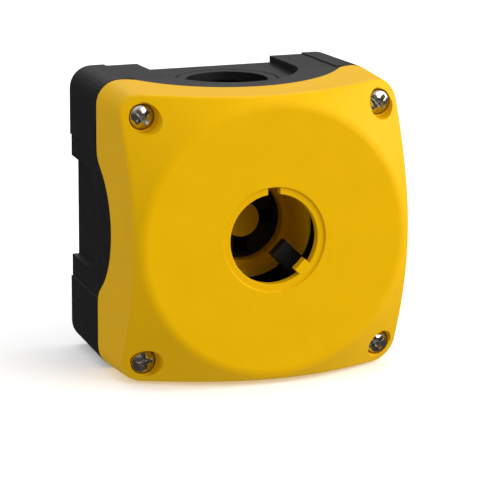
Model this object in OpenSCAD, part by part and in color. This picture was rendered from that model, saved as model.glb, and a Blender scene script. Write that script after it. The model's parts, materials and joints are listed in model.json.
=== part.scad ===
// One-hole wall-mounted control-station enclosure: black base, yellow cover.
// Every module is drawn lying on its back: z is the distance in front of the wall, y is up.
// on_wall() then stands the piece up: the wall face becomes the plane y = 0, the front looks along -Y.

/* [Enclosure] */
// Width and height across the parting line
body_w = 73; // [72:0.5:76]
// Depth from the wall to the face of the cover
body_d = 55; // [54:0.5:58]
// Width of the cover where its sides meet the face
front_w = 71; // [70:0.5:72]
// Width of the base at the wall
rear_w = 70.4; // [70:0.2:71]
// Radius of the four upright corners at the parting line
corner_r = 6; // [5:0.5:7]
// Height of the corner pads above the sides of the base
pad_t = 0.35; // [0.2:0.05:0.5]

/* [Parting line] */
// Distance of the parting line from the wall, at the corners
parting_z = 25.5; // [24:0.5:27]
// Radius of the bow in the left and right sides
side_bow_r = 18.7; // [18:0.1:19.5]
// Distance of that bow's centre from the wall
side_bow_z = 17.3; // [16.5:0.1:18]
// Radius of the bow in the top and bottom
top_bow_r = 31; // [30:0.5:31.5]
// Distance of that bow's centre from the wall
top_bow_z = 11.1; // [10:0.1:12]
// Open seam between base and cover
seam = 0.4; // [0.3:0.05:0.6]

/* [Cover face] */
// Diameter of the flat round face
plateau_d = 67.4; // [66:0.2:68.4]
// Fall of the skirt round the flat face, in degrees
skirt_angle = 40.5; // [36:0.5:43]
// Thickness of the face
panel_t = 3; // [2.5:0.1:3.5]

/* [Actuator hole] */
// Diameter of the hole for a 22 mm control device
hole_d = 22.5; // [22.3:0.1:22.7]
// Width of the locating notch at the top
notch_w = 3.2; // [3:0.1:3.4]
// Distance from the hole's axis to the floor of the notch
notch_reach = 12.9; // [12.8:0.05:13]
// Diameter of the shallow recess round the hole
recess_d = 26.2; // [26:0.1:27]
// Depth of that recess
recess_t = 0.6; // [0.4:0.1:0.8]
// Width of the key at the lower right
tab_w = 3.6; // [3:0.1:4]
// Distance from the hole's axis to the key
tab_reach = 9.5; // [9.2:0.1:10]

/* [Cable entries] */
// Clearance hole for an M20 gland
entry_d = 20.5; // [20.3:0.1:20.7]
// Outside diameter of the ring that breaks out for an M25 gland
entry_ring_d = 25.5; // [25.3:0.1:25.7]
// Distance of the top and bottom entries from the wall
entry_z = 18.6; // [18:0.1:19]
// Radius of the flat pocket round the top and bottom entries
top_pocket_r = 17.8; // [17:0.1:18]
// Radius of the flat pocket in the left and right sides
side_pocket_r = 12.8; // [12:0.1:13]
// Distance of the side pocket's centre from the wall
side_pocket_z = 12.7; // [12.5:0.1:13.5]
// Diameter of the side knock-outs
side_ko_d = 16.5; // [16:0.1:17]

/* [Cover screws] */
// Distance between neighbouring cover screws
screw_pitch = 61; // [60:0.5:61.5]
// Nominal thread diameter
thread_d = 3; // [3:0.5:3]
// Screw head diameter
head_d = 6; // [5.6:0.1:6.2]
// Screw head height
head_t = 2.2; // [2:0.1:2.4]
// Length under the head
screw_l = 25; // [24:1:26]
// How far a captive screw backs out
screw_travel = 6; // [5:0.5:6]

/* [Wall fixing] */
// Diameter of the wall fixing holes
fix_d = 4.5; // [4:0.1:5]
// Distance between the fixing holes, across
fix_x = 38; // [36:1:40]
// Distance between the fixing holes, up
fix_y = 54; // [52:1:54]

/* [Hidden] */

$fn = 96;
eps = 0.05;
big = 100;
wall_t = 2.5;                     // rear wall
inner_w = 66;                     // width of the space inside
column_r = 6;                     // solid corner column round each cover screw
lip_t = 1.6;                      // sealing lip of the base
lip_h = 2;                        // height of the lip above the parting line
gasket_t = 1.4;
gasket_gap = 0.15;
lip_gap = 0.2;                    // between the lip and the cover's rebate
bow_blend = 5;                    // fillet where a bow runs into the straight seam
pocket_floor = 33.5;              // from the middle to the floor of each pocket
entry_wall = 2.3;                 // thickness of the pocket floors
score_gap = 0.4;                  // groove round a knock-out
web_t = 0.5;                      // what is left of the wall in that groove
pad_x = 26.5;                     // the corner pads begin here on the top and bottom
pad_y = 18.4;                     // and here on the left and right
soft_r = 4;                       // rounding between the flat face and the skirt
head_sink = 9.6;                  // from the face back to the tops of the screw heads
seat_z = body_d - head_sink - head_t;
shaft_clear_d = 3.6;
bore_head_d = 7.4;                // counterbore for the head
bore_seat_d = 6.6;                // narrower at its bottom, close round the head
bore_step_z = seat_z + 1.3;
retainer_bore_d = 6.6;
retainer_z = 28.6;                // underside of the retainer, screwed home
retainer_t = 1;
retainer_d = 6;
stop_gap = 0.4;                   // left between retainer and shoulder, fully backed out
retainer_shoulder_z = retainer_z + retainer_t + screw_travel + stop_gap;
head_rim_t = 0.7;                 // straight rim of the head, below its crown
cross_d = 3.6;                    // across the cross recess
cross_w = 0.8;
cross_deep = 1.5;
cross_turn = 20;                  // way the crosses point
cross_cone = [0.3, 1.1, 1.9];     // cone in the middle of the cross: bottom radius, top radius, depth
insert_d = 4.4;
insert_l = 8.5;
insert_z = 16.5;
groove_z = [2.4, 5.4];            // grip grooves round the insert
groove_w = 0.9;
groove_t = 0.4;
screw_hole_z = 8;                 // bottom of the hole below the insert
screw_hole_d = thread_d + 0.6;
hole_from = 30;                   // cuts through the cover's face begin here
tab_angle = -45;                  // the key stands at the lower right
rear_corner_r = 5.3;
pad_corner_r = 5.5;               // corner radius of the pads at the wall
front_corner_r = 5;
cover_corner_r = 6.2;             // corner radius of the cover's sides near the wall
bow_top = [47, 71.4];             // height and width of the base's section over its bows
cover_from = 20;                  // height at which the cover's side planes begin
cover_over = 3;                   // height to which they run past the face
column_low = 10;                  // cuts for the cover's room begin here
pad_cut = 20;
pocket_rim = 1.6;                 // wall left round a pocket
stem_l = 4;                       // hub's stem below the turret's plate
run_gap = 0.05;                   // running clearance on a thread's radius
turret_r = 13.8;                  // round turret on the rear wall
turret_t = 1.6;
turret_z = 26;
turret_plate_t = 1.5;
window_w = 3.6;
window_r = [4.9, 8.6];            // from and to, measured from the turret's axis
plate_r = 10;                     // the turret's top is narrower, and the sleeve sits round it
plate_z = 29;
plate_wall_t = 0.8;
hub_r = 4.5;
hub_t = 1;
hub_stem_r = 2.9;
sleeve_r = [11.6, 13.2];          // bore of the sleeve, at its ledge and at its front
sleeve_front_z = 42.4;
sleeve_low_z = 35;                // front of the sleeve between its two tall sides
sleeve_ledge_z = 32;
sleeve_sides = [-50, 130];        // each tall side begins here and spans side_span
side_span = 85;
hook_w = 5;                       // the two hooks that hold the sleeve
hook_reach = [8.2, 6.2];          // from the axis to the tip of each hook
hook_out = 16.5;
hook_gap = 0.2;
hook_t = 3;
half = [for (s = [-1, 1]) s * screw_pitch / 2];

module on_wall() rotate([90, 0, 0]) children();

// Upright rounded square that changes width between sections [z, width, corner radius]
module tapered_body(sections) {
    hull() for (s = sections, x = [-1, 1], y = [-1, 1])
        translate([x * (s[1] / 2 - s[2]), y * (s[1] / 2 - s[2]), s[0]])
            cylinder(r = s[2], h = 0.01, $fn = 32);
}

// Straight rounded square, exact
module square_prism(w, r, z0, z1) {
    translate([0, 0, z0]) linear_extrude(z1 - z0) {
        square([w - 2 * r, w], center = true);
        square([w, w - 2 * r], center = true);
        for (x = [-1, 1], y = [-1, 1]) translate([x * (w / 2 - r), y * (w / 2 - r)]) circle(r);
    }
}

// The room inside, grown by k: a square less the four corner columns and all that lies outside them
module room(k, z0, z1) {
    difference() {
        square_prism(inner_w + 2 * k, 3, z0, z1);
        for (x = half, y = half) translate([x, y, z0 - 1]) {
            cylinder(r = column_r - k, h = z1 - z0 + 2);
            translate([x > 0 ? 0 : -big, y > 0 ? 0 : -big, 0]) cube([big, big, z1 - z0 + 2]);
        }
    }
}

// Fillet that blends a bow of radius r, centred at height z, into the straight seam
module bow_fillets(r, z, length) {
    c = parting_z + bow_blend;                              // height of the fillet's centre
    x = sqrt(pow(r + bow_blend, 2) - pow(c - z, 2));
    for (s = [-1, 1]) linear_extrude(length, center = true) difference() {
        polygon([[0, z], [s * x, z], [s * x, c],
                 [s * x * r / (r + bow_blend), z + (c - z) * r / (r + bow_blend)]]);
        translate([s * x, c]) circle(bow_blend);
    }
}

// Everything on the wall's side of the parting surface, raised by d
module behind(d) {
    translate([0, 0, d]) {
        translate([-big / 2, -big / 2, -big / 2]) cube([big, big, big / 2 + parting_z]);
        translate([0, 0, side_bow_z]) rotate([0, 90, 0])
            cylinder(r = side_bow_r, h = big, center = true, $fn = 180);
        translate([0, 0, top_bow_z]) rotate([90, 0, 0])
            cylinder(r = top_bow_r, h = big, center = true, $fn = 180);
        rotate([90, 0, 90]) bow_fillets(side_bow_r, side_bow_z, big);
        rotate([90, 0, 0]) bow_fillets(top_bow_r, top_bow_z, big);
    }
}

// Turned outline of the cover's face, set back by t; soft shoulder of radius soft_r
module dome(t, r, z_low) {
    a = skirt_angle;
    zc = body_d - t - soft_r;
    rc = r - soft_r * tan(a / 2);
    re = rc + soft_r * sin(a);
    ze = zc + soft_r * cos(a);
    far = 60;
    rotate_extrude() polygon(concat(
        [[0, z_low], [far, z_low], [far, ze - (far - re) * tan(a)]],
        [for (i = [6:-1:0]) [rc + soft_r * sin(a * i / 6), zc + soft_r * cos(a * i / 6)]],
        [[0, body_d - t]]));
}

module base_outside() {
    mid_w = body_w - 2 * pad_t;
    tapered_body([[0, rear_w, rear_corner_r], [parting_z, mid_w, corner_r],
                  [bow_top[0], bow_top[1], corner_r]]);
    intersection() {
        tapered_body([[0, rear_w + 2 * pad_t, pad_corner_r], [parting_z, body_w, corner_r]]);
        for (x = [-1, 1], y = [-1, 1])
            translate([x * (pad_x + pad_cut / 2), y * (pad_y + pad_cut / 2), 0])
                cube([pad_cut, pad_cut, big], center = true);
    }
}

// Round-fronted pocket, open towards the wall; drawn on the top side
module pocket(r, z, depth_from, depth_to) {
    translate([0, depth_to, z]) rotate([90, 0, 0]) cylinder(r = r, h = depth_to - depth_from);
    translate([-r, depth_from, -1]) cube([2 * r, depth_to - depth_from, z + 1]);
}

module on_side(k) rotate([0, 0, 90 * k]) children();        // 0 top, 1 left, 2 bottom, 3 right

module entry_pads() {
    for (k = [0, 2]) on_side(k) intersection() {
        pocket(top_pocket_r + pocket_rim, entry_z, pocket_floor - entry_wall, pocket_floor + 1);
        translate([-big / 2, 0, wall_t / 2]) cube(big);
    }
    for (k = [1, 3]) on_side(k) intersection() {
        pocket(side_pocket_r + pocket_rim, side_pocket_z, pocket_floor - entry_wall, pocket_floor + 1);
        translate([-big / 2, 0, wall_t / 2]) cube(big);
    }
}

module turret() {
    low_top = turret_z - turret_plate_t;                     // inside of the wide part
    difference() {
        union() {
            translate([0, 0, wall_t - eps]) cylinder(r = turret_r, h = turret_z - wall_t + eps);
            translate([0, 0, low_top]) cylinder(r = plate_r, h = plate_z - low_top);
        }
        translate([0, 0, wall_t - 2 * eps]) cylinder(r = turret_r - turret_t, h = low_top - wall_t);
        translate([0, 0, wall_t]) cylinder(r = plate_r - plate_wall_t, h = plate_z - turret_plate_t - wall_t);
        translate([0, 0, wall_t]) cylinder(r = hub_stem_r, h = plate_z);
        for (a = [0, 90, 180, 270]) rotate([0, 0, a])
            translate([window_r[0], -window_w / 2, turret_z])
                cube([window_r[1] - window_r[0], window_w, plate_z]);
    }
}

module hooks() {
    for (k = [0, 1]) rotate([0, 0, 135 + 180 * k]) {
        translate([turret_r + hook_gap, -hook_w / 2, wall_t - eps])
            cube([hook_out - turret_r - hook_gap, hook_w, sleeve_front_z + hook_gap - wall_t + hook_t + eps]);
        translate([hook_reach[k], -hook_w / 2, sleeve_front_z + hook_gap])
            cube([hook_out - hook_reach[k], hook_w, hook_t]);
    }
}

// Round cut through a pocket's floor, drawn on the top side
module entry_cut(z, d) {
    translate([0, body_w, z]) rotate([90, 0, 0])
        cylinder(d = d, h = body_w - pocket_floor + entry_wall + 1);
}

module base() color([0.09, 0.09, 0.095]) on_wall() difference() {
    union() {
        difference() {
            union() {
                intersection() { base_outside(); behind(0); }
                intersection() { room(lip_t, 1, big); behind(lip_h); }
            }
            room(0, wall_t, big);
        }
        entry_pads();
        turret();
        hooks();
    }
    for (k = [0, 2]) on_side(k) {
        pocket(top_pocket_r, entry_z, pocket_floor, body_w);
        entry_cut(entry_z, entry_ring_d + 2 * score_gap);
    }
    for (k = [1, 3]) on_side(k) {
        pocket(side_pocket_r, side_pocket_z, pocket_floor, body_w);
        entry_cut(side_pocket_z, side_ko_d + 2 * score_gap);
    }
    for (x = [-1, 1], y = [-1, 1])
        translate([x * fix_x / 2, y * fix_y / 2, -1]) cylinder(d = fix_d, h = wall_t + 2);
    for (x = half, y = half) translate([x, y, 0]) {
        translate([0, 0, insert_z]) cylinder(d = insert_d, h = big);
        translate([0, 0, screw_hole_z]) cylinder(d = screw_hole_d, h = big);
    }
}

// Width over the cover's drafted sides at height z
function cover_w(z) = body_w + (front_w - body_w) * (z - parting_z) / (body_d - parting_z);

module cover() color([0.93, 0.72, 0.06]) on_wall() difference() {
    intersection() {
        tapered_body([[cover_from, cover_w(cover_from), cover_corner_r],
                      [body_d + cover_over, cover_w(body_d + cover_over), front_corner_r]]);
        dome(0, plateau_d / 2, column_low);
    }
    behind(seam);
    intersection() {
        room(0, column_low, big);
        dome(panel_t, plateau_d / 2 - 1, column_low / 2);
    }
    intersection() {
        room(lip_t + lip_gap, column_low, big);
        behind(lip_h + gasket_gap + gasket_t);
    }
    // actuator hole, notch and shallow recess; the key is left standing, flush with the recess floor
    difference() {
        translate([0, 0, hole_from]) cylinder(d = hole_d, h = big);
        rotate([0, 0, tab_angle]) translate([tab_reach, -tab_w / 2, 0])
            cube([hole_d, tab_w, body_d - recess_t]);
    }
    translate([-notch_w / 2, 0, hole_from]) cube([notch_w, notch_reach, big]);
    translate([0, 0, body_d - recess_t]) cylinder(d = recess_d, h = big);
    for (x = half, y = half) translate([x, y, 0]) {
        translate([0, 0, seat_z]) cylinder(d = bore_seat_d, h = big);
        translate([0, 0, bore_step_z]) cylinder(d = bore_head_d, h = big);
        cylinder(d = shaft_clear_d, h = big);
        cylinder(d = retainer_bore_d, h = retainer_shoulder_z);
    }
}

module cover_gasket() color([0.16, 0.16, 0.16]) on_wall() difference() {
    intersection() {
        room(lip_t + lip_gap / 2, column_low, big);
        behind(lip_h + gasket_gap + gasket_t);
    }
    behind(lip_h + gasket_gap);
    room(lip_gap / 2, column_low / 2, big);
}

// Everything within span degrees after direction a, as a wedge from the axis
module wedge(a, span, z0, z1) {
    translate([0, 0, z0]) linear_extrude(z1 - z0)
        polygon(concat([[0, 0]], [for (k = [0:2]) big * [cos(a + span * k / 2), sin(a + span * k / 2)]]));
}

module inner_sleeve() color([0.93, 0.72, 0.06]) on_wall() difference() {
    union() {
        translate([0, 0, turret_z]) cylinder(r = turret_r, h = sleeve_low_z - turret_z);
        for (a = sleeve_sides) intersection() {
            translate([0, 0, turret_z]) cylinder(r = turret_r, h = sleeve_front_z - turret_z);
            wedge(a, side_span, turret_z, sleeve_front_z);
        }
    }
    translate([0, 0, turret_z - 1]) cylinder(r = plate_r + run_gap, h = big);
    translate([0, 0, sleeve_ledge_z])
        cylinder(r1 = sleeve_r[0], r2 = sleeve_r[1], h = sleeve_front_z - sleeve_ledge_z + eps);
}

module inner_hub() color([0.93, 0.72, 0.06]) on_wall() {
    translate([0, 0, plate_z]) cylinder(r = hub_r, h = hub_t);
    translate([0, 0, plate_z - stem_l]) cylinder(r = hub_stem_r, h = stem_l + eps);
}

// Pan-head machine screw with a cross recess, head up
module screw() {
    crown = head_t - head_rim_t;
    dome_r = (pow(head_d / 2, 2) + pow(crown, 2)) / (2 * crown);
    difference() {
        union() {
            intersection() {
                cylinder(d = head_d, h = head_t);
                translate([0, 0, head_t - dome_r]) sphere(r = dome_r);
            }
            translate([0, 0, -screw_l]) cylinder(d = thread_d, h = screw_l + eps);
        }
        for (a = [0, 90]) rotate([0, 0, a + cross_turn])
            translate([-cross_d / 2, -cross_w / 2, head_t - cross_deep]) cube([cross_d, cross_w, head_t]);
        translate([0, 0, head_t - cross_cone[2]])
            cylinder(r1 = cross_cone[0], r2 = cross_cone[1], h = cross_cone[2] + eps);
    }
}

module at_screw(x, y, z) on_wall() translate([x * screw_pitch / 2, y * screw_pitch / 2, z]) children();

module cover_screw(x, y) color([0.78, 0.77, 0.74]) at_screw(x, y, seat_z) screw();

module screw_retainer(x, y) color([0.85, 0.85, 0.82]) at_screw(x, y, retainer_z) difference() {
    cylinder(d = retainer_d, h = retainer_t);
    translate([0, 0, -1]) cylinder(d = thread_d + 2 * run_gap, h = retainer_t + 2);
}

module thread_insert(x, y) color([0.8, 0.62, 0.3]) at_screw(x, y, insert_z) difference() {
    cylinder(d = insert_d, h = insert_l);
    translate([0, 0, -1]) cylinder(d = thread_d + 2 * run_gap, h = insert_l + 2);
    for (z = groove_z) translate([0, 0, z]) difference() {
        cylinder(d = insert_d + 1, h = groove_w);
        translate([0, 0, -1]) cylinder(d = insert_d - 2 * groove_t, h = groove_w + 2);
    }
}

// Breakable plug in a pocket's floor: bore d_in (0 for a disc), with its web on the chosen face
module knockout(side, z, d_in, d_out, web_outside) {
    web_y = web_outside ? pocket_floor - web_t : pocket_floor - entry_wall;
    color([0.09, 0.09, 0.095]) on_wall() on_side(side) translate([0, 0, z]) rotate([-90, 0, 0]) difference() {
        union() {
            translate([0, 0, pocket_floor - entry_wall]) cylinder(d = d_out, h = entry_wall);
            translate([0, 0, web_y]) cylinder(d = d_out + 2 * score_gap, h = web_t);
        }
        if (d_in > 0) translate([0, 0, pocket_floor / 2]) cylinder(d = d_in, h = body_w);
    }
}

base();
cover();
cover_gasket();
inner_sleeve();
inner_hub();
cover_screw(-1, 1);  // cover_screw_tl
cover_screw(1, 1);  // cover_screw_tr
cover_screw(-1, -1);  // cover_screw_bl
cover_screw(1, -1);  // cover_screw_br
screw_retainer(-1, 1);  // screw_retainer_tl
screw_retainer(1, 1);  // screw_retainer_tr
screw_retainer(-1, -1);  // screw_retainer_bl
screw_retainer(1, -1);  // screw_retainer_br
thread_insert(-1, 1);  // thread_insert_tl
thread_insert(1, 1);  // thread_insert_tr
thread_insert(-1, -1);  // thread_insert_bl
thread_insert(1, -1);  // thread_insert_br
knockout(0, entry_z, entry_d, entry_ring_d, false);  // knockout_ring_top
knockout(2, entry_z, entry_d, entry_ring_d, false);  // knockout_ring_bottom
knockout(2, entry_z, 0, entry_d - 2 * score_gap, false);  // knockout_disc_bottom
knockout(1, side_pocket_z, 0, side_ko_d, true);  // knockout_disc_left
knockout(3, side_pocket_z, 0, side_ko_d, true);  // knockout_disc_right
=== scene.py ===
"""Studio scene for a one-hole control-station enclosure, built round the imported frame."""
import json
import math

import bmesh
import bpy
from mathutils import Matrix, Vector


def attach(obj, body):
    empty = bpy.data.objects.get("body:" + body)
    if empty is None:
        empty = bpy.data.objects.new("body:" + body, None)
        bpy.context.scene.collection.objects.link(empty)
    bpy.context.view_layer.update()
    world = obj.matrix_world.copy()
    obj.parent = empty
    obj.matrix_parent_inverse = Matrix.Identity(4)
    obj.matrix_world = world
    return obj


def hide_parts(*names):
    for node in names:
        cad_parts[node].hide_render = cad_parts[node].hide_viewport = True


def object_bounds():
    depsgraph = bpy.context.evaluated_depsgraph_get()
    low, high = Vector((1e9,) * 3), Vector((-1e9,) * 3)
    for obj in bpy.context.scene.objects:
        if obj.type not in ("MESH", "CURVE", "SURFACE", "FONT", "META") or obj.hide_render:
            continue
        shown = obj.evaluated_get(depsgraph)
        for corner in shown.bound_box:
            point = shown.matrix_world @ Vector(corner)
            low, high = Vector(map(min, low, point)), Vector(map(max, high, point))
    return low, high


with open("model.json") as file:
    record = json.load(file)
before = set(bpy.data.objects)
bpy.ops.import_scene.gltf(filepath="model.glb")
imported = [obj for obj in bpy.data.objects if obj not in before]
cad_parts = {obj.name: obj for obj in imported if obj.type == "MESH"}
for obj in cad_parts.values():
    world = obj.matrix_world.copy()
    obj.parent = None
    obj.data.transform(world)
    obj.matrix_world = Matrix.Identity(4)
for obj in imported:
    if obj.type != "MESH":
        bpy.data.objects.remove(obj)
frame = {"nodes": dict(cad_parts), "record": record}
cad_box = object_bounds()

MM = 0.001
nodes = frame["nodes"]
LOW = cad_box[0]
FACE_Y = LOW.y                      # plane of the cover's flat round face
SCREWS = ("tl", "tr", "bl", "br")


# ---------------------------------------------------------------- camera
AZIMUTH, ELEVATION = math.radians(18.92), math.radians(12.87)
DISTANCE = 950.6 * MM               # from the hole's centre, along the view
ASIDE = 8.54 * MM                   # the hole sits this far right of the optical axis
LENS, SENSOR = 292.8, 36            # both in mm


def make_camera():
    """A view from the left and a little above, through a long lens."""
    right = Vector((math.cos(AZIMUTH), -math.sin(AZIMUTH), 0))
    back = Vector((-math.sin(AZIMUTH) * math.cos(ELEVATION),
                   -math.cos(AZIMUTH) * math.cos(ELEVATION), math.sin(ELEVATION)))
    cam = bpy.data.objects.new("camera", bpy.data.cameras.new("camera"))
    cam.data.sensor_width = SENSOR
    cam.data.lens = LENS
    cam.data.clip_start, cam.data.clip_end = 0.01, 20
    cam.location = Vector((0, FACE_Y, 0)) - right * ASIDE + back * DISTANCE
    cam.rotation_mode = "QUATERNION"
    cam.rotation_quaternion = (-back).to_track_quat("-Z", "Y")
    bpy.context.scene.collection.objects.link(cam)
    bpy.context.scene.camera = cam


# ---------------------------------------------------------------- materials
class Nodes:
    """A few helpers that keep the node trees short."""

    def __init__(self, name):
        self.mat = bpy.data.materials.new(name)
        self.mat.use_nodes = True
        self.tree = self.mat.node_tree
        self.tree.nodes.clear()
        out = self.tree.nodes.new("ShaderNodeOutputMaterial")
        self.shader = self.tree.nodes.new("ShaderNodeBsdfPrincipled")
        self.tree.links.new(self.shader.outputs[0], out.inputs[0])
        self.place = self.tree.nodes.new("ShaderNodeTexCoord").outputs["Object"]

    def noise(self, size, detail=3.0, stretch=(1, 1, 1)):
        """Noise with features of about a given size."""
        mapping = self.tree.nodes.new("ShaderNodeMapping")
        mapping.inputs["Scale"].default_value = [s / size for s in stretch]
        self.tree.links.new(self.place, mapping.inputs[0])
        n = self.tree.nodes.new("ShaderNodeTexNoise")
        n.inputs["Scale"].default_value = 1
        n.inputs["Detail"].default_value = detail
        n.inputs["Roughness"].default_value = 0.55
        self.tree.links.new(mapping.outputs[0], n.inputs["Vector"])
        return n.outputs[0]

    def remap(self, value, low, high):
        """Noise, most of which lies from 0.3 to 0.7, spread from low to high."""
        m = self.tree.nodes.new("ShaderNodeMapRange")
        for k, v in zip(("From Min", "From Max", "To Min", "To Max"), (0.3, 0.7, low, high)):
            m.inputs[k].default_value = v
        self.tree.links.new(value, m.inputs["Value"])
        return m.outputs[0]

    def colours(self, value, *stops):
        """A colour ramp; each stop is (position, colour)."""
        ramp = self.tree.nodes.new("ShaderNodeValToRGB")
        while len(ramp.color_ramp.elements) < len(stops):
            ramp.color_ramp.elements.new(0.5)
        for e, (at, c) in zip(ramp.color_ramp.elements, stops):
            e.position = at
            e.color = (*c, 1)
        self.tree.links.new(value, ramp.inputs[0])
        return ramp.outputs[0]

    def worn_edge(self, radius):
        """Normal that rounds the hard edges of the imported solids."""
        b = self.tree.nodes.new("ShaderNodeBevel")
        b.samples = 6
        b.inputs["Radius"].default_value = radius
        return b.outputs[0]

    def bump(self, value, height, before):
        """Normal with relief of a given height, on top of the normal before it."""
        b = self.tree.nodes.new("ShaderNodeBump")
        b.inputs["Strength"].default_value = 1
        b.inputs["Distance"].default_value = height
        self.tree.links.new(value, b.inputs["Height"])
        self.tree.links.new(before, b.inputs["Normal"])
        return b.outputs[0]

    def put(self, socket, value):
        """Sets or links one socket of the shader."""
        if isinstance(value, bpy.types.NodeSocket):
            self.tree.links.new(value, self.shader.inputs[socket])
        else:
            self.shader.inputs[socket].default_value = value


def plastic(name, dark, light, rough, grain, depth, shine=0.5, edge=0.15 * MM, tint=(1, 1, 1)):
    """Moulded plastic or rubber: a fine grain of a given depth over faint waves."""
    m = Nodes(name)
    m.put("Base Color", m.colours(m.noise(9 * MM), (0.3, dark), (0.7, light)))
    m.put("Roughness", m.remap(m.noise(grain * 3), rough - 0.05, rough + 0.05))
    fine = m.bump(m.noise(grain, 2), depth, m.worn_edge(edge))
    m.put("Normal", m.bump(m.noise(14 * MM, 1), 6 * depth, fine))
    m.put("Specular IOR Level", shine)
    m.put("Specular Tint", (*tint, 1))
    return m.mat


def metal(name, dark, light, rough, stretch, scratch=0.25 * MM, depth=0.004 * MM, edge=0.12 * MM):
    """Bare or plated metal with fine marks, which stretch can draw out into lines."""
    m = Nodes(name)
    m.put("Metallic", 1.0)
    m.put("Base Color", m.colours(m.noise(1.2 * MM), (0.3, dark), (0.7, light)))
    lines = m.noise(scratch, 4, stretch=stretch)
    m.put("Roughness", m.remap(lines, rough - 0.05, rough + 0.09))
    m.put("Normal", m.bump(lines, depth, m.worn_edge(edge)))
    return m.mat


MATERIALS = {
    "cover_yellow": plastic("cover_yellow", (0.82, 0.455, 0.0005), (0.85, 0.475, 0.001),
                            0.40, 0.16 * MM, 0.002 * MM, 0.14, tint=(1, 0.8, 0.3)),
    "base_black": plastic("base_black", (0.0075, 0.0075, 0.0080), (0.0115, 0.0115, 0.0120),
                          0.46, 0.35 * MM, 0.022 * MM, 0.3, 0.3 * MM),
    "seal_rubber": plastic("seal_rubber", (0.014, 0.014, 0.014), (0.03, 0.03, 0.03),
                           0.85, 0.22 * MM, 0.02 * MM, 0.3),
    "nylon_white": plastic("nylon_white", (0.60, 0.58, 0.52), (0.68, 0.66, 0.60),
                           0.42, 0.20 * MM, 0.003 * MM),
    "plated_steel": metal("plated_steel", (0.46, 0.445, 0.42), (0.66, 0.65, 0.63), 0.12, (1, 1, 1)),
    "brass": metal("brass", (0.62, 0.42, 0.15), (0.76, 0.56, 0.24), 0.30, (1, 6, 1)),
}


# ---------------------------------------------------------------- stage
LIGHT_FAR = 1.2                     # metres from the object to each light


def area_light(name, toward, aim, size, watts):
    """A square softbox in a direction from the object."""
    lamp = bpy.data.lights.new(name, "AREA")
    lamp.shape, lamp.size, lamp.energy = "SQUARE", size, watts
    o = bpy.data.objects.new(name, lamp)
    o.location = Vector(aim) + Vector(toward).normalized() * LIGHT_FAR
    o.rotation_mode = "QUATERNION"
    o.rotation_quaternion = (-Vector(toward)).to_track_quat("-Z", "Y")
    bpy.context.scene.collection.objects.link(o)


SKY_FROM = (0.25, 0.0, 0.97)        # the backdrop is brightest this way
SKY_LEVELS = (0.62, 0.95)           # its strength on the far side and on the bright side
BELOW = 1.05                        # share of it that is left under the horizon
FRONT = 0.30                        # share left straight in front, so that the inside stays dark
MIRRORED = (0.10, 0.85)             # share of it in reflections, from the sides and from overhead
FLOOR_HALF = 3.0                    # metres
FLOOR_GAP = 0.05 * MM
PALE, PALER = (0.93, 0.93, 0.93), (0.95, 0.95, 0.95)


def make_stage():
    """Plain pale floor, white backdrop and three softboxes."""
    bm = bmesh.new()
    bmesh.ops.create_grid(bm, x_segments=1, y_segments=1, size=FLOOR_HALF)
    mesh = bpy.data.meshes.new("floor")
    bm.to_mesh(mesh)
    bm.free()
    floor = bpy.data.objects.new("floor", mesh)
    floor.location.z = LOW.z - FLOOR_GAP
    bpy.context.scene.collection.objects.link(floor)
    m = Nodes("floor")
    m.put("Base Color", m.colours(m.noise(60 * MM), (0.3, PALE), (0.7, PALER)))
    m.put("Roughness", 0.9)
    m.put("Specular IOR Level", 0.1)
    m.put("Emission Color", (1, 1, 1, 1))
    m.put("Emission Strength", 0.22)
    mesh.materials.append(m.mat)
    floor.visible_glossy = floor.visible_diffuse = False

    # a white backdrop: even to the camera, and a soft gradient where it lights the object
    world = bpy.data.worlds.new("studio")
    world.use_nodes = True
    tree = world.node_tree

    def node(kind, *inputs, **settings):
        n = tree.nodes.new("ShaderNode" + kind)
        for k, v in settings.items():
            setattr(n, k, v)
        for socket, v in zip(n.inputs, inputs):
            if isinstance(v, bpy.types.NodeSocket):
                tree.links.new(v, socket)
            elif v is not None:
                socket.default_value = v
        return n

    way = node("TexCoord").outputs["Generated"]
    toward = Vector(SKY_FROM).normalized()
    lobe = node("VectorMath", way, toward, operation="DOT_PRODUCT").outputs["Value"]
    sky = node("MapRange", lobe, -0.6, 0.9, *SKY_LEVELS).outputs[0]
    parts = node("SeparateXYZ", way).outputs
    horizon = node("MapRange", parts["Z"], -0.15, 0.1, BELOW, 1).outputs[0]
    ahead = node("MapRange", parts["Y"], -0.95, -0.6, FRONT, 1).outputs[0]
    lit = node("Math", sky, horizon, operation="MULTIPLY").outputs[0]
    lit = node("Math", lit, ahead, operation="MULTIPLY").outputs[0]
    ray = node("LightPath").outputs
    share = node("MapRange", parts["Z"], 0.15, 0.75, *MIRRORED).outputs[0]
    mirrored = node("Math", sky, share, operation="MULTIPLY").outputs[0]
    lit = node("Mix", ray["Is Glossy Ray"], None, lit, mirrored).outputs[0]
    level = node("Mix", ray["Is Camera Ray"], None, lit, 1.0).outputs[0]
    tree.links.new(level, tree.nodes["Background"].inputs[1])
    tree.nodes["Background"].inputs[0].default_value = (1, 1, 1, 1)
    bpy.context.scene.world = world
    middle = (0, FACE_Y / 2, 0)
    area_light("key", (0.60, -0.70, 0.38), middle, 1.2, 10.2)
    area_light("side", (0.93, -0.10, 0.36), middle, 0.7, 3.8)
    area_light("back", (0.15, 0.75, 0.60), middle, 0.7, 0.9)
    bpy.context.scene.view_settings.view_transform = "Standard"


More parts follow.
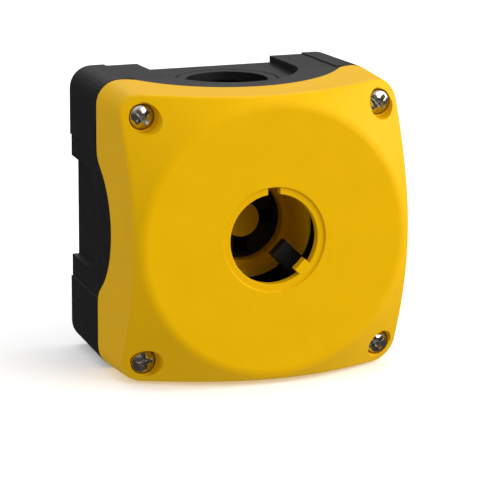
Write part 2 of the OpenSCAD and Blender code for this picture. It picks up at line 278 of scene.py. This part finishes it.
# ---------------------------------------------------------------- mesh tools
def solid(name, verts, faces):
    """A mesh object from bench coordinates in mm: x right, y up, z out from the wall."""
    mesh = bpy.data.meshes.new(name)
    mesh.from_pydata([(x * MM, -z * MM, y * MM) for x, y, z in verts], [], faces)
    bm = bmesh.new()
    bm.from_mesh(mesh)
    bmesh.ops.remove_doubles(bm, verts=bm.verts, dist=1e-7)
    bmesh.ops.dissolve_degenerate(bm, edges=bm.edges, dist=1e-8)
    bmesh.ops.recalc_face_normals(bm, faces=bm.faces)
    bm.to_mesh(mesh)
    bm.free()
    o = bpy.data.objects.new(name, mesh)
    bpy.context.scene.collection.objects.link(o)
    return o


def rings_mesh(name, rings, looped=False):
    """Rings of equal length joined by quads; capped at both ends unless the rings form a loop."""
    n = len(rings[0])
    verts = [p for ring in rings for p in ring]
    faces = []
    last = len(rings) if looped else len(rings) - 1
    for k in range(last):
        a, b = k * n, (k + 1) % len(rings) * n
        faces += [(a + i, a + (i + 1) % n, b + (i + 1) % n, b + i) for i in range(n)]
    if not looped:
        faces += [tuple(range(n)), tuple(range((len(rings) - 1) * n, len(rings) * n))]
    return solid(name, verts, faces)


def circle(at, radius, z, n):
    """A ring of n points; radius is a number, or a function of the share of a turn."""
    points = []
    for i in range(n):
        turn = i / n
        r = radius(turn) if callable(radius) else radius
        points.append((at[0] + r * math.cos(2 * math.pi * turn),
                       at[1] + r * math.sin(2 * math.pi * turn), z))
    return points


def turned(name, profile, at=(0, 0), n=96):
    """A closed solid of revolution; profile is [(radius, z), ...] from one end to the other."""
    return rings_mesh(name, [circle(at, r, z, n) for r, z in profile])


def block(name, corner, size, turn=0.0):
    """A box from its low corner and its size, then turned about the hole's axis."""
    (x, y, z), (w, h, d) = corner, size
    c, s = math.cos(turn), math.sin(turn)
    flat = [(x, y), (x + w, y), (x + w, y + h), (x, y + h)]
    ring = [(c * u - s * v, s * u + c * v) for u, v in flat]
    return rings_mesh(name, [[(u, v, k) for u, v in ring] for k in (z, z + d)])


def cut(target, *tools):
    """Cuts target with each tool and throws the tools away."""
    for tool in tools:
        mod = target.modifiers.new("cut", "BOOLEAN")
        mod.operation, mod.object, mod.solver = "DIFFERENCE", tool, "MANIFOLD"
        bake(target)
        bpy.data.objects.remove(tool)
    return target


def bake(o):
    """Applies every modifier of an object."""
    graph = bpy.context.evaluated_depsgraph_get()
    mesh = bpy.data.meshes.new_from_object(o.evaluated_get(graph))
    o.modifiers.clear()
    old, o.data = o.data, mesh
    bpy.data.meshes.remove(old)


def smooth(o, angle=35):
    """Smooth shading that breaks at edges sharper than an angle in degrees."""
    for p in o.data.polygons:
        p.use_smooth = True
    o.data.set_sharp_from_angle(angle=math.radians(angle))
    mod = o.modifiers.new("weighted", "WEIGHTED_NORMAL")
    mod.keep_sharp = True
    return o


def finish_piece(o, name, slot, body, cad):
    """Names a piece, gives it its material and body, and puts it in its CAD node's place."""
    o.name = o.data.name = name
    o.data.materials.clear()
    o.data.materials.append(MATERIALS[slot])
    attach(o, body)
    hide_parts(cad)
    return o


# ---------------------------------------------------------------- cover
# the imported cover's sizes in mm, with small roundings added at the edges
BODY_W, FRONT_W, BODY_D = 73, 71, 55
PARTING_Z, SEAM = 25.5, 0.4
BLEND = 5
PLATEAU_R, SOFT_R, SKIRT = 33.7, 4, math.radians(40.5)
PANEL_T = 3
PITCH = 30.5                        # cover screws, from the middle
COLUMN_R = 6
ROOM = 33                           # half the width of the space inside
LIP_T, LIP_GAP, LIP_H, GASKET = 1.6, 0.2, 2, 1.55
CORNER_SIDE, CORNER_FRONT = 6.2, 5  # corner radius at CORNER_Z and CORNER_RISE above it
CORNER_Z, CORNER_RISE = 20, 38
SIDE_BOW, TOP_BOW = (18.7, 17.3), (31, 11.1)     # radius of the seam's bow, and height of its centre
HOLE_R, HOLE_EDGE = 11.25, 0.15     # the edge is a small chamfer
RECESS_R, RECESS_DEEP = 13.1, 0.6
KEY_IN, KEY_W = 9.5, 3.6            # how near the key comes to the axis, and its width
KEY_TURN, KEY_LOW = math.radians(-45), 20        # its direction, and a height well below the face
NOTCH_W, NOTCH_TOP = 3.2, 12.9
SEAT_Z = 43.2                       # where the screw heads rest
BORE_R, BORE_NARROW_R, STEP_UP = 3.7, 3.3, 1.3   # counterbore, and the step this far above the seat
SHANK_HOLE_R = 1.8
RETAINER_HOLE_TOP = 36
EDGE_R = 2.2                        # rounding where the skirt meets the sides
RIM_R = 0.25                        # rounding of the parting edge


def side_half(z):
    """Half the width over the cover's drafted sides at height z."""
    return (BODY_W + (FRONT_W - BODY_W) * (z - PARTING_Z) / (BODY_D - PARTING_Z)) / 2


def corner_radius(z):
    """Rounding of the cover's corners at height z."""
    return CORNER_SIDE + (CORNER_FRONT - CORNER_SIDE) * (z - CORNER_Z) / CORNER_RISE


def to_square(angle, half, radius):
    """Distance from the middle to a rounded square, along a direction."""
    c, s = abs(math.cos(angle)), abs(math.sin(angle))
    if c < s:
        c, s = s, c
    if half / c * s <= half - radius:
        return half / c
    m = half - radius
    along = m * (c + s)
    return along + math.sqrt(max(0, along * along - 2 * m * m + radius * radius))


def to_room(angle, half, column):
    """Distance to the space inside: a square with round corner columns standing in it."""
    c, s = abs(math.cos(angle)), abs(math.sin(angle))
    wall = half / max(c, s)
    along = PITCH * (c + s)
    hit = along * along - 2 * PITCH * PITCH + column * column
    return min(wall, along - math.sqrt(hit)) if hit > 0 else wall


def bow(t, radius, centre):
    """Height of one bowed side at a distance t from its middle, with the blends into the seam."""
    t = abs(t)
    c = PARTING_Z + BLEND
    end = math.sqrt((radius + BLEND) ** 2 - (c - centre) ** 2)
    touch = end * radius / (radius + BLEND)
    if t <= touch:
        return centre + math.sqrt(radius * radius - t * t)
    if t < end:
        return c - math.sqrt(max(0, BLEND * BLEND - (end - t) ** 2))
    return PARTING_Z


def parting(x, y):
    """Height of the base's edge, which bows up in the middle of each side."""
    return max(bow(y, *SIDE_BOW), bow(x, *TOP_BOW))


def face_z(r, back=0.0, shrink=0.0):
    """Height of the turned face at radius r, or of its inside."""
    rc = PLATEAU_R - shrink - SOFT_R * math.tan(SKIRT / 2)
    zc = BODY_D - back - SOFT_R
    if r <= rc:
        return BODY_D - back
    edge = rc + SOFT_R * math.sin(SKIRT)
    if r <= edge:
        return zc + math.sqrt(SOFT_R ** 2 - (r - rc) ** 2)
    return zc + SOFT_R * math.cos(SKIRT) - (r - edge) * math.tan(SKIRT)


def spokes():
    """Directions that follow the sides evenly and are close together round the corners."""
    quarter = [math.atan2(t * ROOM, BODY_W / 2) for t in [k / 22 for k in range(23)]]
    start = quarter[-1]
    quarter = quarter[:-1] + [start + (math.pi / 4 - start) * k / 6 for k in range(7)]
    turn = quarter + [math.pi / 2 - a for a in reversed(quarter[:-1])]
    return [a + k * math.pi / 2 for k in range(4) for a in turn[:-1]]


def cover_blank():
    """The cover's outside with no holes in it, closed underneath along the bowed seam."""
    angles = spokes()
    rc = PLATEAU_R - SOFT_R * math.tan(SKIRT / 2)
    shoulder = [rc + SOFT_R * math.sin(SKIRT * k / 10) for k in range(11)]
    columns = []
    for a in angles:
        c, s = math.cos(a), math.sin(a)
        z = BODY_D
        for _ in range(20):                          # where the skirt meets the side
            r = to_square(a, side_half(z), corner_radius(z))
            z = face_z(r)
        low = to_square(a, side_half(30), corner_radius(30))
        lean = (low - r) / (z - 30)                  # outwards for each mm down
        inward = Vector((-math.cos(SKIRT), math.sin(SKIRT)))
        down = Vector((lean, -1)).normalized()
        half_turn = (math.pi - inward.angle(down)) / 2
        reach = EDGE_R * math.tan(half_turn)
        p = Vector((r, z))
        begin, end = p + inward * reach, p + down * reach
        centre = p + (inward + down).normalized() * (EDGE_R / math.cos(half_turn))
        row = [(0.02, BODY_D), (13, BODY_D), (22, BODY_D), (29, BODY_D)]
        row += [(q, face_z(q)) for q in shoulder]
        row += [(shoulder[-1] + (begin.x - shoulder[-1]) * k / 6,
                 face_z(shoulder[-1] + (begin.x - shoulder[-1]) * k / 6)) for k in range(1, 6)]
        for k in range(7):
            v = (begin - centre).lerp(end - centre, k / 6).normalized() * EDGE_R
            row.append(tuple(centre + v))
        seam_z = parting(c * low, s * low) + SEAM
        drop = end.y - seam_z - RIM_R
        for k in range(1, 9):
            z = end.y - drop * k / 8
            row.append((to_square(a, side_half(z), corner_radius(z)), z))
        edge_r = row[-1][0]
        for k in range(1, 4):
            t = math.pi / 2 * k / 3
            row.append((edge_r - RIM_R * (1 - math.cos(t)), seam_z + RIM_R * (1 - math.sin(t))))
        inner = to_room(a, ROOM - 1.5, COLUMN_R + 1.5)
        for k in range(1, 5):
            r = edge_r - RIM_R + (inner - edge_r + RIM_R) * k / 4
            row.append((r, parting(c * r, s * r) + SEAM))
        row += [(inner, 45), (0.02, 45)]             # the room is cut out of this later
        columns.append([(r * c, r * s, z) for r, z in row])
    return rings_mesh("cover", [list(ring) for ring in zip(*columns)])


def room_tool(grow, low, top):
    """A cutter shaped like the space inside, from a low height up to top(x, y)."""
    rings = []
    angles = spokes()
    for k in (1.0, 0.97, 0.8, 0.6, 0.4, 0.2, 0.01):
        ring = []
        for a in angles:
            r = k * to_room(a, ROOM + grow, COLUMN_R - grow)
            x, y = r * math.cos(a), r * math.sin(a)
            ring.append((x, y, top(x, y)))
        rings.append(ring)
    return rings_mesh("tool", [[(x, y, low) for x, y, _ in rings[0]]] + rings)


def make_cover():
    """Yellow shell with the keyed hole, its recess and the four counterbores."""
    cover = cover_blank()
    cut(cover, room_tool(0, 5, lambda x, y: face_z(math.hypot(x, y), PANEL_T, 1)))
    # the rebate for the lip and the gasket, with the screw columns left standing in it
    deep = LIP_H + GASKET
    step = LIP_T + LIP_GAP
    cut(cover, room_tool(step, 5, lambda x, y: parting(x, y) + deep))
    # hole with its recess, notch and key
    reach = BODY_D + 1
    shelf = BODY_D - RECESS_DEEP
    wide = HOLE_R + HOLE_EDGE
    hole = turned("tool", [(HOLE_R, 30), (HOLE_R, shelf - HOLE_EDGE), (wide, shelf), (wide, reach)], n=128)
    cut(hole, block("tool", (KEY_IN, -KEY_W / 2, KEY_LOW), (8, KEY_W, shelf - KEY_LOW), KEY_TURN))
    cut(cover, hole)
    cut(cover, block("tool", (-NOTCH_W / 2, 5, 30), (NOTCH_W, NOTCH_TOP - 5, 40)))
    cut(cover, turned("tool", [(RECESS_R - 0.15, shelf), (RECESS_R, shelf + 0.15), (RECESS_R, BODY_D - 0.1),
                               (RECESS_R + 0.15, BODY_D + 0.05), (RECESS_R + 0.15, reach)], n=128))
    step_z = SEAT_Z + STEP_UP
    bore = [(BORE_NARROW_R, SEAT_Z), (BORE_NARROW_R, step_z - 0.1), (BORE_NARROW_R + 0.05, step_z - 0.02),
            (BORE_R - 0.1, step_z + 0.02), (BORE_R, step_z + 0.1), (BORE_R, 70)]
    for x in (-PITCH, PITCH):
        for y in (-PITCH, PITCH):
            cut(cover, turned("tool", bore, (x, y), 64),
                turned("tool", [(SHANK_HOLE_R, 10), (SHANK_HOLE_R, 60)], (x, y), 32),
                turned("tool", [(BORE_NARROW_R, 10), (BORE_NARROW_R, RETAINER_HOLE_TOP)], (x, y), 48))
    return finish_piece(smooth(cover), "cover_shell", "cover_yellow", "cover", "cover")


# ---------------------------------------------------------------- screws and their fittings
HEAD_R, HEAD_T = 3.0, 2.2
HEAD_RIM = 1.15                     # height at which the dome meets the side
SHANK_R, SHANK_L = 1.5, 25
THREAD_TOP, THREAD_DEEP, THREAD_STEP = 27.4, 0.27, 0.5
TURN_ROWS = 6                       # rows of points for each turn of the thread
POINT = 0.45                        # chamfer at the screw's end
CROSS_TURN = {"tl": 0.72, "tr": 0.78, "bl": 0.1, "br": 0.6}     # the way each cross points, radians
CROSS_LOW, CROSS_HIGH = (1.5, 0.32), (2.95, 0.60)               # half length and half width
CROSS_DEEP, CROSS_CONE_DEEP = 1.5, 1.9
RETAINER_Z, RETAINER_T, RETAINER_R, RETAINER_BORE_R = 28.6, 1.0, 3.0, 1.55
SLOTS, SLOT_DEEP = 3, 0.55
INSERT_Z, INSERT_L, INSERT_R, INSERT_BORE_R = 16.5, 8.5, 2.2, 1.55
TEETH, TOOTH_DEEP = 24, 0.13


def tapered_bar(low, high, z_low, z_high, turn, at):
    """A bar that narrows downwards; low and high are its half sizes at each end."""
    c, s = math.cos(turn), math.sin(turn)
    rings = []
    for (w, h), z in ((low, z_low), (high, z_high)):
        rings.append([(at[0] + c * u - s * v, at[1] + s * u + c * v, z)
                      for u, v in ((-w, -h), (w, -h), (w, h), (-w, h))])
    return rings_mesh("tool", rings)


def make_screw(tag, at):
    """Pan head with a tapered cross recess, plain shank and a right-hand thread."""
    top = SEAT_Z + HEAD_T
    crown = HEAD_T - HEAD_RIM
    dome = (HEAD_R ** 2 + crown ** 2) / (2 * crown)
    n = 40
    profile = [(0.02, top)]
    profile += [(HEAD_R * k / 12, top - dome + math.sqrt(dome ** 2 - (HEAD_R * k / 12) ** 2))
                for k in range(1, 11)]
    profile += [(HEAD_R - 0.28, SEAT_Z + HEAD_RIM + 0.20), (HEAD_R - 0.11, SEAT_Z + HEAD_RIM + 0.04),
                (HEAD_R - 0.02, SEAT_Z + HEAD_RIM - 0.16), (HEAD_R, SEAT_Z + HEAD_RIM - 0.35),
                (HEAD_R, SEAT_Z + 0.12), (HEAD_R - 0.12, SEAT_Z), (SHANK_R + 0.15, SEAT_Z),
                (SHANK_R, SEAT_Z - 0.2), (SHANK_R, THREAD_TOP + 0.3)]
    rings = [circle(at, r, z, n) for r, z in profile]
    low = SEAT_Z - SHANK_L
    steps = round((THREAD_TOP - low) / THREAD_STEP * TURN_ROWS)
    for k in range(steps + 1):
        z = THREAD_TOP - (THREAD_TOP - low) * k / steps
        fade = min(1, (THREAD_TOP - z) / 0.6)
        tip = min(0, z - low - POINT)

        def thread(turn):
            wave = abs(((z / THREAD_STEP - turn) % 1) * 2 - 1)
            return SHANK_R - THREAD_DEEP * fade * wave + tip

        rings.append(circle(at, thread, z, n))
    screw = rings_mesh("screw", rings)
    for quarter in (0, 1):
        turn = CROSS_TURN[tag] + quarter * math.pi / 2
        cut(screw, tapered_bar(CROSS_LOW, CROSS_HIGH, top - CROSS_DEEP, top + 0.2, turn, at))
    cut(screw, turned("tool", [(0.3, top - CROSS_CONE_DEEP), (1.15, top + 0.1)], at, 32))
    return finish_piece(smooth(screw, 32), "screw_" + tag, "plated_steel", "screw_" + tag,
                        "cover_screw_" + tag)


def make_retainer(tag, at):
    """Nylon washer with a chamfered rim and relief slots in its bore."""
    def bore(turn):
        gap = abs((turn * SLOTS + 0.5) % 1 - 0.5) / SLOTS            # distance from the nearest slot
        return RETAINER_BORE_R + SLOT_DEEP * min(1, max(0, (0.035 - gap) / 0.012))

    rim = RETAINER_R - 0.15
    profile = [(bore, 0), (rim, 0), (RETAINER_R, 0.15), (RETAINER_R, RETAINER_T - 0.15),
               (rim, RETAINER_T), (bore, RETAINER_T)]
    rings = [circle(at, r, RETAINER_Z + z, 96) for r, z in profile]
    return finish_piece(smooth(rings_mesh("retainer", rings, True)), "retainer_" + tag,
                        "nylon_white", "retainer_" + tag, "screw_retainer_" + tag)


def make_insert(tag, at):
    """Moulded-in brass insert: three knurled bands with grip grooves between them."""
    n = 120
    mouth = INSERT_BORE_R + 0.2                                      # the bore's chamfer
    rows = [(mouth, INSERT_L, 0), (INSERT_BORE_R, INSERT_L - 0.2, 0), (INSERT_BORE_R, 0.2, 0),
            (mouth, 0, 0), (INSERT_R - 0.25, 0, 0), (INSERT_R - 0.1, 0.15, 0)]
    for begin, end in ((0.3, 2.3), (3.4, 5.3), (6.4, 8.2)):
        rows.append((INSERT_R, begin, 0.5))
        rows += [(INSERT_R, begin + (end - begin) * k / 5, 1) for k in range(1, 5)]
        rows.append((INSERT_R, end, 0.5))
        if end < 8:
            rows += [(INSERT_R - 0.4, end + 0.1, 0), (INSERT_R - 0.4, end + 1.0, 0)]
    rows += [(INSERT_R - 0.1, INSERT_L - 0.15, 0), (INSERT_R - 0.25, INSERT_L, 0)]
    rings = []
    for r, z, knurl in rows:
        def toothed(turn):
            return r - abs((turn * TEETH) % 1 * 2 - 1) * TOOTH_DEEP * knurl

        rings.append(circle(at, toothed, INSERT_Z + z, n))
    return finish_piece(smooth(rings_mesh("insert", rings, True), 30), "insert_" + tag, "brass", "base",
                        "thread_insert_" + tag)


make_camera()
make_stage()
make_cover()
for tag in SCREWS:
    corner = (PITCH * (1 if "r" in tag else -1), PITCH * (1 if "t" in tag else -1))
    make_screw(tag, corner)
    make_retainer(tag, corner)
    make_insert(tag, corner)

slots = {s["node"]: s["material_slot"] for s in frame["record"]["subparts"]}
for n, part in nodes.items():
    part.data.materials.clear()
    part.data.materials.append(MATERIALS[slots[n]])
